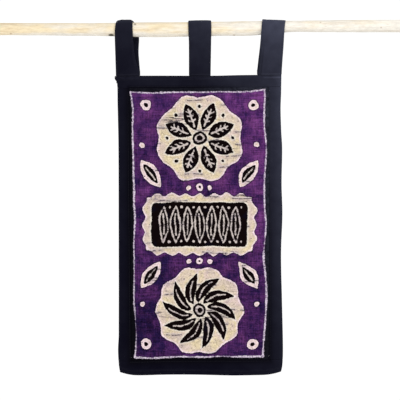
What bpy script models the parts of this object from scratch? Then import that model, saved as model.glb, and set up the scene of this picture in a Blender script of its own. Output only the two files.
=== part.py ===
"""Batik wall hanging with three tabs, on a peeled wooden rod.

Metres, +Z up. The picture side faces -Y. The origin is on the rod's axis, at
the middle of its length. A place along X is called "across", one along Z is
called "height", and one along Y is called "depth".
"""
import math
from collections import namedtuple

import bmesh
import bpy

# Cloth
SHEET_THICKNESS = 0.0015
HEM_THICKNESS = 0.0024
TAB_THICKNESS = 0.0024
SEAM_GAP = 0.0003
TOP_HEM_WIDTH = 0.010
BOTTOM_HEM_WIDTH = 0.011

# Rod
ROD_LENGTH = 0.920
ROD_SIDES = 16
ROD_RING_SPACING = 0.020
ROD_END_CHAMFER = 0.0012

# Tabs: how the loop is divided, and its sewn foot
TAB_COLUMNS = 5
TAB_LEG_STEPS = 5
TAB_ARC_STEPS = 14
TAB_LEG_SHARE = 0.35
TAB_ROD_CLEARANCE = 0.00045
TAB_FOOT_HALF_THICKNESS = 0.0019
TAB_FOOT_HEIGHT = 0.009
TAB_SPLIT_HALF_WIDTH = 0.0002

# Grid of the hanging cloth, as shares of each piece's width or height
PANEL_COLUMNS = 16
PANEL_ROWS = 30
LEFT_BORDER_COLUMNS = (0.0, 0.2, 0.55, 1.0)
RIGHT_BORDER_COLUMNS = (0.0, 0.45, 0.8, 1.0)
TOP_BORDER_ROWS = (0.0, 0.18, 0.38, 0.65, 1.0)
BOTTOM_BORDER_ROWS = (0.0, 0.35, 0.6, 0.8, 0.92, 1.0)
BORDER_SAMPLE_HEIGHT = -0.408

# The rod's upper and lower side, from its left end to its right end
RodSection = namedtuple("RodSection", "across top bottom")
ROD_SECTIONS = (
    RodSection(-0.460, 0.0128, -0.0125),
    RodSection(-0.315, 0.0128, -0.0133),
    RodSection(-0.210, 0.0128, -0.0145),
    RodSection(-0.160, 0.0137, -0.0156),
    RodSection(-0.105, 0.0145, -0.0167),
    RodSection(-0.053, 0.0146, -0.0162),
    RodSection(0.000, 0.0151, -0.0151),
    RodSection(0.050, 0.0156, -0.0142),
    RodSection(0.100, 0.0166, -0.0139),
    RodSection(0.145, 0.0171, -0.0104),
    RodSection(0.190, 0.0176, -0.0062),
    RodSection(0.252, 0.0183, -0.0063),
    RodSection(0.315, 0.0191, -0.0065),
    RodSection(0.460, 0.0199, -0.0067),
)

# Outer edges of the hanging cloth, with the unevenness of a hand-sewn hem
SidePoint = namedtuple("SidePoint", "height across")
LEFT_EDGE = (
    SidePoint(-0.0969, -0.1790),
    SidePoint(-0.1044, -0.1791),
    SidePoint(-0.1109, -0.1746),
    SidePoint(-0.1557, -0.1733),
    SidePoint(-0.2397, -0.1716),
    SidePoint(-0.3577, -0.1712),
    SidePoint(-0.6377, -0.1711),
    SidePoint(-0.6717, -0.1726),
    SidePoint(-0.7037, -0.1710),
    SidePoint(-0.7177, -0.1688),
)
RIGHT_EDGE = (
    SidePoint(-0.0937, 0.1693),
    SidePoint(-0.1337, 0.1686),
    SidePoint(-0.1657, 0.1676),
    SidePoint(-0.2097, 0.1688),
    SidePoint(-0.2497, 0.1709),
    SidePoint(-0.3227, 0.1697),
    SidePoint(-0.3857, 0.1714),
    SidePoint(-0.4697, 0.1686),
    SidePoint(-0.5657, 0.1705),
    SidePoint(-0.6717, 0.1728),
    SidePoint(-0.7037, 0.1716),
    SidePoint(-0.7167, 0.1690),
)
LevelPoint = namedtuple("LevelPoint", "across height")
TOP_EDGE = (
    LevelPoint(-0.1790, -0.0981),
    LevelPoint(-0.1180, -0.0972),
    LevelPoint(0.0300, -0.0972),
    LevelPoint(0.0840, -0.0959),
    LevelPoint(0.1700, -0.0953),
)
BOTTOM_EDGE = (
    LevelPoint(-0.1710, -0.7239),
    LevelPoint(-0.1300, -0.7239),
    LevelPoint(-0.0750, -0.7222),
    LevelPoint(-0.0250, -0.7216),
    LevelPoint(0.0690, -0.7235),
    LevelPoint(0.1710, -0.7227),
)

# The two lower corners are drawn up by the hem
CORNER_RISE = 0.0062
CORNER_RISE_WIDTH = 0.042
CORNER_RISE_POWER = 2.4

# Seams between the batik and its borders
LEFT_SEAM = (
    SidePoint(-0.1227, -0.1487),
    SidePoint(-0.3577, -0.1470),
    SidePoint(-0.6937, -0.1440),
)
RIGHT_SEAM = (
    SidePoint(-0.1197, 0.1432),
    SidePoint(-0.3977, 0.1438),
    SidePoint(-0.6907, 0.1425),
)
TOP_SEAM = (
    LevelPoint(-0.1750, -0.1232),
    LevelPoint(0.0000, -0.1225),
    LevelPoint(0.1700, -0.1199),
)
BOTTOM_SEAM = (
    LevelPoint(-0.1710, -0.6943),
    LevelPoint(-0.0500, -0.6912),
    LevelPoint(0.1710, -0.6907),
)

# Soft folds of the hanging cloth: a fold starts under the top edge, leans
# across by "lean" for each metre of drop, and stands "depth" back (+) or forward (-)
Fold = namedtuple("Fold", "across lean half_width depth")
FOLDS = (
    Fold(-0.105, 0.10, 0.045, -0.0040),
    Fold(-0.030, -0.06, 0.040, 0.0032),
    Fold(0.055, 0.05, 0.045, -0.0036),
    Fold(0.125, -0.04, 0.035, 0.0030),
)
FOLD_START = 0.110
EDGE_ROLL_WIDTH = 0.022
EDGE_ROLL_DEPTH = 0.0030
CORNER_CURL_REACH = 0.050
CORNER_CURL_DEPTH = 0.0070
CORNER_HEIGHT = -0.718

# Side edges of each tab around its loop, from the front foot (0) over the rod
# (0.5) to the back foot (1)
TabSection = namedtuple("TabSection", "around left right")
Tab = namedtuple("Tab", "name crown_rise sections")
TABS = (
    Tab("tab_left", 0.0027, (
        TabSection(0.00, -0.1768, -0.1270),
        TabSection(0.13, -0.1775, -0.1365),
        TabSection(0.33, -0.1783, -0.1407),
        TabSection(0.50, -0.1755, -0.1399),
        TabSection(0.67, -0.1784, -0.1294),
        TabSection(0.82, -0.1779, -0.1296),
        TabSection(0.91, -0.1772, -0.1280),
        TabSection(1.00, -0.1768, -0.1260),
    )),
    Tab("tab_centre", 0.0006, (
        TabSection(0.00, -0.0242, 0.0213),
        TabSection(0.25, -0.0243, 0.0223),
        TabSection(0.34, -0.0253, 0.0227),
        TabSection(0.50, -0.0255, 0.0222),
        TabSection(0.67, -0.0248, 0.0224),
        TabSection(1.00, -0.0232, 0.0211),
    )),
    Tab("tab_right", 0.0002, (
        TabSection(0.00, 0.1180, 0.1696),
        TabSection(0.10, 0.1206, 0.1713),
        TabSection(0.20, 0.1235, 0.1731),
        TabSection(0.33, 0.1263, 0.1749),
        TabSection(0.50, 0.1290, 0.1777),
        TabSection(0.67, 0.1272, 0.1742),
        TabSection(1.00, 0.1200, 0.1688),
    )),
)

# Linear base colours
BLACK_COTTON = (0.010, 0.009, 0.016)
PURPLE_BATIK = (0.085, 0.030, 0.110)
PEELED_WOOD = (0.820, 0.690, 0.480)


def clear_scene():
    for thing in list(bpy.data.objects):
        bpy.data.objects.remove(thing, do_unlink=True)


def read_curve(rows, place, value_column=1):
    """Value at a place, smooth between rows whose first column rises or falls."""
    places = [row[0] for row in rows]
    values = [row[value_column] for row in rows]
    if places[0] > places[-1]:
        places.reverse()
        values.reverse()
    if place <= places[0]:
        return values[0]
    if place >= places[-1]:
        return values[-1]
    slopes = []
    for index in range(len(places)):
        before = max(index - 1, 0)
        after = min(index + 1, len(places) - 1)
        slopes.append((values[after] - values[before]) / (places[after] - places[before]))
    start = max(index for index in range(len(places) - 1) if places[index] <= place)
    span = places[start + 1] - places[start]
    t = (place - places[start]) / span
    return (
        values[start] * (1 + 2 * t) * (1 - t) ** 2
        + slopes[start] * span * t * (1 - t) ** 2
        + values[start + 1] * t * t * (3 - 2 * t)
        + slopes[start + 1] * span * t * t * (t - 1)
    )


def bell(distance, half_width):
    return math.exp(-(distance / half_width) ** 2)


def mix(low, high, share):
    return low + (high - low) * share


def rod_centre(across):
    top = read_curve(ROD_SECTIONS, across, 1)
    bottom = read_curve(ROD_SECTIONS, across, 2)
    return (top + bottom) / 2


def rod_radius(across):
    top = read_curve(ROD_SECTIONS, across, 1)
    bottom = read_curve(ROD_SECTIONS, across, 2)
    return (top - bottom) / 2


def left_edge(height):
    return read_curve(LEFT_EDGE, height)


def right_edge(height):
    return read_curve(RIGHT_EDGE, height)


def top_edge(across):
    return read_curve(TOP_EDGE, across)


def bottom_edge(across):
    low = read_curve(BOTTOM_EDGE, across)
    inward = min(across - left_edge(low), right_edge(low) - across)
    nearness = min(max(1 - inward / CORNER_RISE_WIDTH, 0), 1)
    return low + CORNER_RISE * nearness ** CORNER_RISE_POWER


def seam(rows, shift):
    """The edge that a piece has along a seam, shifted off the seam's line."""
    return lambda place: read_curve(rows, place) + shift


def cloth_depth(across, height):
    """Depth of the hanging cloth's middle surface."""
    drop = max(top_edge(across) - height, 0)
    freed = 1 - math.exp(-drop / FOLD_START)
    depth = 0
    for fold in FOLDS:
        depth += freed * fold.depth * bell(across - fold.across - fold.lean * drop, fold.half_width)
    for side_edge in (left_edge, right_edge):
        inward = abs(across - side_edge(height))
        depth += EDGE_ROLL_DEPTH * freed * bell(inward, EDGE_ROLL_WIDTH)
        corner_distance = math.hypot(inward, height - CORNER_HEIGHT)
        depth += CORNER_CURL_DEPTH * bell(corner_distance, CORNER_CURL_REACH)
    return depth


def hem_weight(across, height):
    """1 where the cloth is folded over in a hem, 0 elsewhere."""
    in_top_hem = top_edge(across) - height < TOP_HEM_WIDTH
    in_bottom_hem = height - bottom_edge(across) < BOTTOM_HEM_WIDTH
    return 1.0 if in_top_hem or in_bottom_hem else 0.0


def even_shares(count):
    return [index / count for index in range(count + 1)]


def make_material(name, colour, roughness):
    material = bpy.data.materials.new(name)
    material.use_nodes = True
    shader = material.node_tree.nodes["Principled BSDF"]
    shader.inputs["Base Color"].default_value = (*colour, 1)
    shader.inputs["Roughness"].default_value = roughness
    shader.inputs["Metallic"].default_value = 0
    material.diffuse_color = (*colour, 1)
    return material


def add_object(name, bm, material):
    """Turn a bmesh into a named object of the scene with smooth shading."""
    mesh = bpy.data.meshes.new(name)
    bmesh.ops.recalc_face_normals(bm, faces=bm.faces)
    bm.to_mesh(mesh)
    bm.free()
    mesh.shade_smooth()
    mesh.set_sharp_from_angle(angle=math.radians(40))
    mesh.materials.append(material)
    thing = bpy.data.objects.new(name, mesh)
    bpy.context.scene.collection.objects.link(thing)
    return thing


def make_rod(material):
    """Loft the stick through rings along X, with a small chamfer at each sawn end."""
    half = ROD_LENGTH / 2
    count = round((ROD_LENGTH - 2 * ROD_END_CHAMFER) / ROD_RING_SPACING)
    inner_half = half - ROD_END_CHAMFER
    places = [mix(-inner_half, inner_half, index / count) for index in range(count + 1)]
    rings = [(-half, -ROD_END_CHAMFER)]
    rings += [(place, 0) for place in places]
    rings += [(half, -ROD_END_CHAMFER)]

    bm = bmesh.new()
    loops = []
    for across, inset in rings:
        radius = rod_radius(across) + inset
        centre = rod_centre(across)
        loop = []
        for side in range(ROD_SIDES):
            angle = 2 * math.pi * side / ROD_SIDES
            depth = radius * math.cos(angle)
            height = centre + radius * math.sin(angle)
            loop.append(bm.verts.new((across, depth, height)))
        loops.append(loop)
    for first, second in zip(loops, loops[1:]):
        for side in range(ROD_SIDES):
            other = (side + 1) % ROD_SIDES
            bm.faces.new((first[side], first[other], second[other], second[side]))
    bm.faces.new(loops[0])
    bm.faces.new(loops[-1])
    return add_object("rod", bm, material)


def tab_profile(around, across, side_share, outer, crown_rise):
    """Depth and height of one surface of a tab's loop, inner or outer."""
    thickness = TAB_THICKNESS if outer else 0
    swell = 1 - abs(2 * side_share - 1) ** 3
    inner_radius = rod_radius(across) + TAB_ROD_CLEARANCE
    centre = rod_centre(across)
    foot = top_edge(across) + SEAM_GAP
    split = foot + TAB_FOOT_HEIGHT
    tangent = math.asin(inner_radius / (centre - split))

    from_front = around < 0.5
    leg_share = min(around, 1 - around) / TAB_LEG_SHARE
    side = -1 if from_front else 1
    if leg_share <= 1:
        radius = inner_radius + thickness
        rod_end = (side * radius * math.cos(tangent), centre - radius * math.sin(tangent))
        if outer:
            foot_end = (side * TAB_FOOT_HALF_THICKNESS, foot)
        else:
            foot_end = (side * TAB_SPLIT_HALF_WIDTH, split)
        return (
            mix(foot_end[0], rod_end[0], leg_share),
            mix(foot_end[1], rod_end[1], leg_share),
        )
    arc_share = (around - TAB_LEG_SHARE) / (1 - 2 * TAB_LEG_SHARE)
    angle = mix(-tangent, math.pi + tangent, arc_share)
    rise = crown_rise * swell * max(math.sin(angle), 0) ** 2
    radius = inner_radius + thickness + rise
    return -radius * math.cos(angle), centre + radius * math.sin(angle)


def make_tab(tab, material):
    """A strip of folded cloth that goes over the rod and is sewn to itself at its foot."""
    leg = [TAB_LEG_SHARE * index / TAB_LEG_STEPS for index in range(TAB_LEG_STEPS)]
    arc = [
        mix(TAB_LEG_SHARE, 1 - TAB_LEG_SHARE, index / TAB_ARC_STEPS)
        for index in range(TAB_ARC_STEPS + 1)
    ]
    stations = leg + arc + [1 - share for share in reversed(leg)]
    bm = bmesh.new()
    surfaces = {}
    for outer in (False, True):
        columns = []
        for side_share in even_shares(TAB_COLUMNS):
            column = []
            for around in stations:
                left = read_curve(tab.sections, around, 1)
                right = read_curve(tab.sections, around, 2)
                across = mix(left, right, side_share)
                depth, height = tab_profile(around, across, side_share, outer, tab.crown_rise)
                column.append(bm.verts.new((across, depth, height)))
            columns.append(column)
        surfaces[outer] = columns
    count = len(stations)
    for station in range(count):
        other = (station + 1) % count
        for columns in surfaces.values():
            for first, second in zip(columns, columns[1:]):
                bm.faces.new((first[station], first[other], second[other], second[station]))
        for edge in (0, -1):
            inner = surfaces[False][edge]
            outer = surfaces[True][edge]
            bm.faces.new((inner[station], inner[other], outer[other], outer[station]))
    return add_object(tab.name, bm, material)


def make_sheet(name, sides, levels, columns, rows, material):
    """A sheet between a left and right edge and a top and bottom edge, each a function."""
    left, right = sides
    top, bottom = levels
    bm = bmesh.new()
    grid = []
    for down in rows:
        line = []
        rough_height = mix(top(0), bottom(0), down)
        for share in columns:
            rough_across = mix(left(rough_height), right(rough_height), share)
            height = mix(top(rough_across), bottom(rough_across), down)
            across = mix(left(height), right(height), share)
            line.append(bm.verts.new((across, cloth_depth(across, height), height)))
        grid.append(line)
    for upper, lower in zip(grid, grid[1:]):
        for index in range(len(columns) - 1):
            bm.faces.new((upper[index], lower[index], lower[index + 1], upper[index + 1]))
    sheet = add_object(name, bm, material)
    hem = sheet.vertex_groups.new(name="hem")
    for vertex in sheet.data.vertices:
        hem.add([vertex.index], hem_weight(vertex.co.x, vertex.co.z), "REPLACE")
    solidify = sheet.modifiers.new("thickness", "SOLIDIFY")
    solidify.thickness = HEM_THICKNESS
    solidify.offset = 0
    solidify.vertex_group = hem.name
    solidify.thickness_vertex_group = SHEET_THICKNESS / HEM_THICKNESS
    return sheet


def whole_cloth_columns(panel_columns):
    """Columns of the full-width borders, in line with those of the pieces between them."""
    left, left_seam, right_seam, right = (
        left_edge(BORDER_SAMPLE_HEIGHT),
        read_curve(LEFT_SEAM, BORDER_SAMPLE_HEIGHT),
        read_curve(RIGHT_SEAM, BORDER_SAMPLE_HEIGHT),
        right_edge(BORDER_SAMPLE_HEIGHT),
    )
    places = [mix(left, left_seam, share) for share in LEFT_BORDER_COLUMNS[:-1]]
    places += [mix(left_seam, right_seam, share) for share in panel_columns]
    places += [mix(right_seam, right, share) for share in RIGHT_BORDER_COLUMNS[1:]]
    return [(place - left) / (right - left) for place in places]


def make_cloth(cotton, batik):
    """The batik and its four borders, each cut back from the seams by half the gap."""
    half_gap = SEAM_GAP / 2
    panel_columns = even_shares(PANEL_COLUMNS)
    panel_rows = even_shares(PANEL_ROWS)
    whole_columns = whole_cloth_columns(panel_columns)
    whole_sides = (left_edge, right_edge)
    top_levels = (top_edge, seam(TOP_SEAM, half_gap))
    middle_levels = (seam(TOP_SEAM, -half_gap), seam(BOTTOM_SEAM, half_gap))
    bottom_levels = (seam(BOTTOM_SEAM, -half_gap), bottom_edge)
    left_sides = (left_edge, seam(LEFT_SEAM, -half_gap))
    panel_sides = (seam(LEFT_SEAM, half_gap), seam(RIGHT_SEAM, -half_gap))
    right_sides = (seam(RIGHT_SEAM, half_gap), right_edge)

    make_sheet("border_top", whole_sides, top_levels, whole_columns, TOP_BORDER_ROWS, cotton)
    make_sheet(
        "border_bottom", whole_sides, bottom_levels, whole_columns, BOTTOM_BORDER_ROWS, cotton
    )
    make_sheet(
        "border_left", left_sides, middle_levels, LEFT_BORDER_COLUMNS, panel_rows, cotton
    )
    make_sheet(
        "border_right", right_sides, middle_levels, RIGHT_BORDER_COLUMNS, panel_rows, cotton
    )
    make_sheet("batik_panel", panel_sides, middle_levels, panel_columns, panel_rows, batik)


def main():
    clear_scene()
    cotton = make_material("black_cotton", BLACK_COTTON, 0.85)
    batik = make_material("purple_batik", PURPLE_BATIK, 0.80)
    wood = make_material("peeled_wood", PEELED_WOOD, 0.55)
    make_rod(wood)
    for tab in TABS:
        make_tab(tab, cotton)
    make_cloth(cotton, batik)


main()
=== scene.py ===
"""Looks of the batik wall hanging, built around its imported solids.

Metres, +Z up. The picture side faces -Y, and the origin is on the rod's axis, at the
middle of its length. A place along X is called "across", one along Z "height", and one
along Y "depth". The tables of the rod, edges, seams, folds and tabs repeat the solids' own.
"""
import math
from collections import namedtuple
from functools import partial, reduce

import bpy
import numpy as np
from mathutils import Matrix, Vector


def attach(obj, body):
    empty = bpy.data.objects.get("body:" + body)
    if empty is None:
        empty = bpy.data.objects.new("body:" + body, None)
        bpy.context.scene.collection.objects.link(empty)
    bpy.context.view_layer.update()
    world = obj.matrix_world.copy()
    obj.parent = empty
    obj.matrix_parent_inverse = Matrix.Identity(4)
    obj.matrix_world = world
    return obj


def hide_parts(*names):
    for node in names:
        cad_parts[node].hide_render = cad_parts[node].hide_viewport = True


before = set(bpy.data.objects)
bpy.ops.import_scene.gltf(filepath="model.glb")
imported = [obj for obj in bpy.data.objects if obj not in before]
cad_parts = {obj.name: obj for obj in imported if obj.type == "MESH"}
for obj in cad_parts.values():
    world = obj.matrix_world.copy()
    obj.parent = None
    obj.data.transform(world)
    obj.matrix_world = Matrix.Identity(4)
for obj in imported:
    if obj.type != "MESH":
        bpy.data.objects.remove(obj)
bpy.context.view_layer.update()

MILLIMETRE = 0.001

# Camera: a 400 x 400 view, 2.09 mm of cloth to a pixel
VIEW_WIDTH = 0.8358
CAMERA_DISTANCE = 3.0
CAMERA_ACROSS = -0.0010
CAMERA_HEIGHT = -0.3570
SENSOR_WIDTH = 36.0
WORLD_LIGHT = 0.66
WORLD_SEEN = 1.05
FLOOR_LEVEL = -1.6
FLOOR_CORNERS = ((-2.2, -2.4), (2.2, -2.4), (2.2, 1.2), (-2.2, 1.2))

# Cloth
BATIK_HALF_THICKNESS = 0.00045
BORDER_HALF_THICKNESS = 0.00055
HEM_HALF_THICKNESS = 0.00110
HEM_STEP = 0.0006
SEAM_GAP = 0.0003
EDGE_ROUND_SHARE = 0.5
TOP_HEM_WIDTH = 0.010
BOTTOM_HEM_WIDTH = 0.011
ALLOWANCE_HALF_WIDTH = 0.007
ALLOWANCE_HALF_THICKNESS = 0.00035
ALLOWANCE_SHIFT = 0.0013
ALLOWANCE_INSET = 0.0012
ALLOWANCE_OVERLAP = 0.0005
CREASE_HALF_WIDTH = 0.0035

# Threads to a metre, and the radians that a wave texture turns through in a metre
TWILL_THREADS = 1100
BATIK_THREADS = 900
WAVE_TURN = 20

# Distance between the points of each cloth's mesh
LEVEL_STRIP_CELL = 0.0016
SIDE_STRIP_CELL = 0.0018
BATIK_CELL = 0.00193
ALLOWANCE_CELL = 0.0035

# Stitches
HEM_STITCH_INSET = 0.0085
EDGE_STITCH_INSET = 0.0020
SEAM_STITCH_INSET = 0.0030
STITCH_PITCH = 0.0033
STITCH_LENGTH = 0.0025
STITCH_RADIUS = 0.00027
STITCH_SIDES = 6
STITCH_LINE_STEP = 0.0004

# Where lines of stitching start and end on the cloth, and in shares of a tab
TOP_STITCHING = (-0.1755, 0.1670)
BOTTOM_STITCHING = (-0.1670, 0.1680)
SIDE_STITCHING = (-0.1300, -0.6900)
LEVEL_STITCHING = (-0.1500, 0.1455)
TAB_STITCH_SHARES = (0.06, 0.94)
FRONT_LEG_STITCHING = (0.01, 0.33)
BACK_LEG_STITCHING = (0.67, 0.99)
FOOT_STITCHING = (0.07, 0.93)
FOOT_STITCH_PLACE = 0.012

# Rings of points along a stitch: their place, thickness and lift, in shares of its sizes
STITCH_RINGS = (
    (-1.0, 0.35, -0.9), (-0.7, 0.9, 0.0), (0.0, 1.0, 0.35), (0.7, 0.9, 0.0), (1.0, 0.35, -0.9)
)

# Rod
ROD_LENGTH = 0.920
ROD_MEAN_RADIUS = 0.013
ROD_END_CHAMFER = 0.0012
ROD_END_RINGS = (0.90, 0.6, 0.3, 0.04)
STICK_SIDES = 72
STICK_RING_SPACING = 0.0018

# Tabs
TAB_WIDTH = 0.046
TAB_THICKNESS = 0.0024
TAB_LEG_STEPS = 52
TAB_ARC_STEPS = 44
TAB_COLUMNS = 44
TAB_EDGE_STEPS = 5
TAB_EDGE_ROUND = 0.0009
TAB_LEG_SHARE = 0.35
TAB_ROD_CLEARANCE = 0.00045
TAB_FOOT_HALF_THICKNESS = 0.0019
TAB_FOOT_HEIGHT = 0.009
TAB_SPLIT_HALF_WIDTH = 0.0002
TAIL_DROP = 0.016
TAIL_INSET = 0.0010
TAIL_RISE = 0.0012
TAIL_WIDTH = 0.045
TAIL_HALF_THICKNESS = 0.00042
TAIL_ROUND = 0.0012
TAIL_COLUMNS = 24
TAIL_ROWS = 14
TAIL_TOP_DEPTH = 0.00275
TAIL_LOW_DEPTH = 0.00195
TAIL_STEP_HEIGHT = 0.0050

# Generic batik design, in millimetres from the middle of the cloth's picture
DESIGN_ACROSS = -0.002
DESIGN_HEIGHT = -0.408
LINE_HALF_WIDTH = 1.75

# Level cracks in the wax
CRACK_SEED = 17
CRACK_ROWS = 19
CRACK_TOP = -0.150
CRACK_BOTTOM = -0.672
CRACK_REACH = 20.0
CRACK_GLEAM_SHIFT = 0.0021


def table(kind, *rows):
    """Rows of a table with named columns."""
    return tuple(kind(*row) for row in rows)


RodSection = namedtuple("RodSection", "across top bottom")
ROD_SECTIONS = table(
    RodSection,
    (-0.460, 0.0128, -0.0125), (-0.315, 0.0128, -0.0133), (-0.210, 0.0128, -0.0145),
    (-0.160, 0.0137, -0.0156), (-0.105, 0.0145, -0.0167), (-0.053, 0.0146, -0.0162),
    (0.000, 0.0151, -0.0151), (0.050, 0.0156, -0.0142), (0.100, 0.0166, -0.0139),
    (0.145, 0.0171, -0.0104), (0.190, 0.0176, -0.0062), (0.252, 0.0183, -0.0063),
    (0.315, 0.0191, -0.0065), (0.460, 0.0199, -0.0067),
)

SidePoint = namedtuple("SidePoint", "height across")
LEFT_EDGE = table(
    SidePoint,
    (-0.0969, -0.1790), (-0.1044, -0.1791), (-0.1109, -0.1746), (-0.1557, -0.1733),
    (-0.2397, -0.1716), (-0.3577, -0.1712), (-0.6377, -0.1711), (-0.6717, -0.1726),
    (-0.7037, -0.1710), (-0.7177, -0.1688),
)
RIGHT_EDGE = table(
    SidePoint,
    (-0.0937, 0.1693), (-0.1337, 0.1686), (-0.1657, 0.1676), (-0.2097, 0.1688), (-0.2497, 0.1709),
    (-0.3227, 0.1697), (-0.3857, 0.1714), (-0.4697, 0.1686), (-0.5657, 0.1705), (-0.6717, 0.1728),
    (-0.7037, 0.1716), (-0.7167, 0.1690),
)
LevelPoint = namedtuple("LevelPoint", "across height")
TOP_EDGE = table(
    LevelPoint,
    (-0.1790, -0.0981), (-0.1180, -0.0972), (0.0300, -0.0972), (0.0840, -0.0959), (0.1700, -0.0953),
)
BOTTOM_EDGE = table(
    LevelPoint,
    (-0.1710, -0.7239), (-0.1300, -0.7239), (-0.0750, -0.7222), (-0.0250, -0.7216),
    (0.0690, -0.7235), (0.1710, -0.7227),
)
CORNER_RISE = 0.0062
CORNER_RISE_WIDTH = 0.042
CORNER_RISE_POWER = 2.4
LEFT_SEAM = table(
    SidePoint,
    (-0.1227, -0.1487), (-0.3577, -0.1470), (-0.6937, -0.1440),
)
RIGHT_SEAM = table(
    SidePoint,
    (-0.1197, 0.1432), (-0.3977, 0.1438), (-0.6907, 0.1425),
)
TOP_SEAM = table(
    LevelPoint,
    (-0.1750, -0.1232), (0.0000, -0.1225), (0.1700, -0.1199),
)
BOTTOM_SEAM = table(
    LevelPoint,
    (-0.1710, -0.6943), (-0.0500, -0.6912), (0.1710, -0.6907),
)

Fold = namedtuple("Fold", "across lean half_width depth")
FOLDS = table(
    Fold,
    (-0.105, 0.10, 0.045, -0.0040), (-0.030, -0.06, 0.040, 0.0032), (0.055, 0.05, 0.045, -0.0036),
    (0.125, -0.04, 0.035, 0.0030),
)
FOLD_START = 0.110
EDGE_ROLL_WIDTH = 0.022
EDGE_ROLL_DEPTH = 0.0030
CORNER_CURL_REACH = 0.050
CORNER_CURL_DEPTH = 0.0070
CORNER_HEIGHT = -0.718

# Level at mid-width, slope, and depth of the soft creases across the cloth
Crease = namedtuple("Crease", "level lean strength")
CREASES = table(
    Crease,
    (-0.222, 0.02, 0.0004), (-0.350, -0.01, -0.0007), (-0.447, 0.015, 0.0005),
    (-0.545, 0.02, -0.0007), (-0.598, -0.02, 0.0004), (-0.648, 0.01, 0.0004),
)

TabSection = namedtuple("TabSection", "around left right")
Tab = namedtuple(
    "Tab",
    "name crown_rise bunching sections seam_step strip_shade lifts",
    defaults=(0.0, 0.0, (0.0, 0.0)),
)
TABS = (
    Tab("tab_left", crown_rise=0.0027, bunching=0.00045, lifts=(0.0005, 0.0003), sections=table(
        TabSection,
        (0.00, -0.1768, -0.1270), (0.13, -0.1775, -0.1365), (0.33, -0.1783, -0.1407),
        (0.50, -0.1755, -0.1399), (0.67, -0.1784, -0.1294), (0.82, -0.1779, -0.1296),
        (0.91, -0.1772, -0.1280), (1.00, -0.1768, -0.1260),
    )),
    Tab("tab_centre", crown_rise=0.0006, bunching=0.00012, sections=table(
        TabSection,
        (0.00, -0.0242, 0.0213), (0.25, -0.0243, 0.0223), (0.34, -0.0253, 0.0227),
        (0.50, -0.0255, 0.0222), (0.67, -0.0248, 0.0224), (1.00, -0.0232, 0.0211),
    )),
    Tab("tab_right", crown_rise=0.0002, bunching=0.00010, seam_step=0.00035, strip_shade=1.0,
        lifts=(0.0007, -0.0016), sections=table(
            TabSection,
            (0.00, 0.1180, 0.1696), (0.10, 0.1206, 0.1713), (0.20, 0.1235, 0.1731),
            (0.33, 0.1263, 0.1749), (0.50, 0.1290, 0.1777), (0.67, 0.1272, 0.1742),
            (1.00, 0.1200, 0.1688),
        )),
)

# The resist line round the batik, along its middle
LINE_LEFT = table(
    SidePoint,
    (-0.1310, -0.1462), (-0.1450, -0.1440), (-0.1700, -0.1413), (-0.2160, -0.1419),
    (-0.2661, -0.1407), (-0.3040, -0.1399), (-0.3413, -0.1387), (-0.3664, -0.1385),
    (-0.3950, -0.1368), (-0.4200, -0.1379), (-0.4416, -0.1392), (-0.4918, -0.1384),
    (-0.5670, -0.1388), (-0.6000, -0.1363), (-0.6422, -0.1342), (-0.6690, -0.1354),
    (-0.6877, -0.1372),
)
LINE_RIGHT = table(
    SidePoint,
    (-0.1267, 0.1340), (-0.1407, 0.1347), (-0.1742, 0.1335), (-0.2076, 0.1338), (-0.2410, 0.1374),
    (-0.2745, 0.1367), (-0.3079, 0.1340), (-0.3413, 0.1336), (-0.3748, 0.1346), (-0.4082, 0.1368),
    (-0.4416, 0.1345), (-0.4751, 0.1321), (-0.5085, 0.1352), (-0.5419, 0.1377), (-0.5754, 0.1373),
    (-0.6088, 0.1354), (-0.6422, 0.1328), (-0.6757, 0.1308), (-0.6857, 0.1312),
)
LINE_TOP = table(
    LevelPoint,
    (-0.1470, -0.1312), (-0.1337, -0.1321), (-0.1044, -0.1334), (-0.0752, -0.1325),
    (-0.0459, -0.1317), (0.0126, -0.1317), (0.0418, -0.1309), (0.0711, -0.1313), (0.1003, -0.1304),
    (0.1296, -0.1268), (0.1350, -0.1262),
)
LINE_BOTTOM = table(
    LevelPoint,
    (-0.1400, -0.6862), (-0.1280, -0.6864), (-0.1044, -0.6878), (-0.0752, -0.6861),
    (-0.0459, -0.6842), (-0.0167, -0.6844), (0.0126, -0.6850), (0.0418, -0.6833), (0.0711, -0.6842),
    (0.1296, -0.6838), (0.1340, -0.6838),
)

# Soft patches on the cloth: where, how far they reach, and how strong. The wax is cracked,
# the resist line worn thin or, below zero, thick, the painted light on the black made
# stronger or weaker, the wax smudged, and the purple made lighter or darker
Patch = namedtuple("Patch", "across height half_width half_height strength")
CRACK_PATCHES = table(
    Patch,
    (-0.088, -0.350, 0.036, 0.012, 1.0), (0.098, -0.352, 0.034, 0.011, 1.0),
    (0.082, -0.290, 0.040, 0.006, 0.8), (-0.084, -0.528, 0.030, 0.009, 1.0),
    (0.094, -0.547, 0.042, 0.011, 1.0), (-0.058, -0.594, 0.044, 0.008, 1.0),
    (0.030, -0.604, 0.038, 0.012, 0.9), (0.066, -0.467, 0.026, 0.005, 0.8),
    (0.070, -0.382, 0.030, 0.006, 0.7), (-0.050, -0.190, 0.032, 0.012, 0.7),
    (0.052, -0.250, 0.036, 0.007, 0.7), (-0.020, -0.425, 0.050, 0.006, 0.6),
    (-0.030, -0.236, 0.044, 0.005, 0.7),
)
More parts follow.
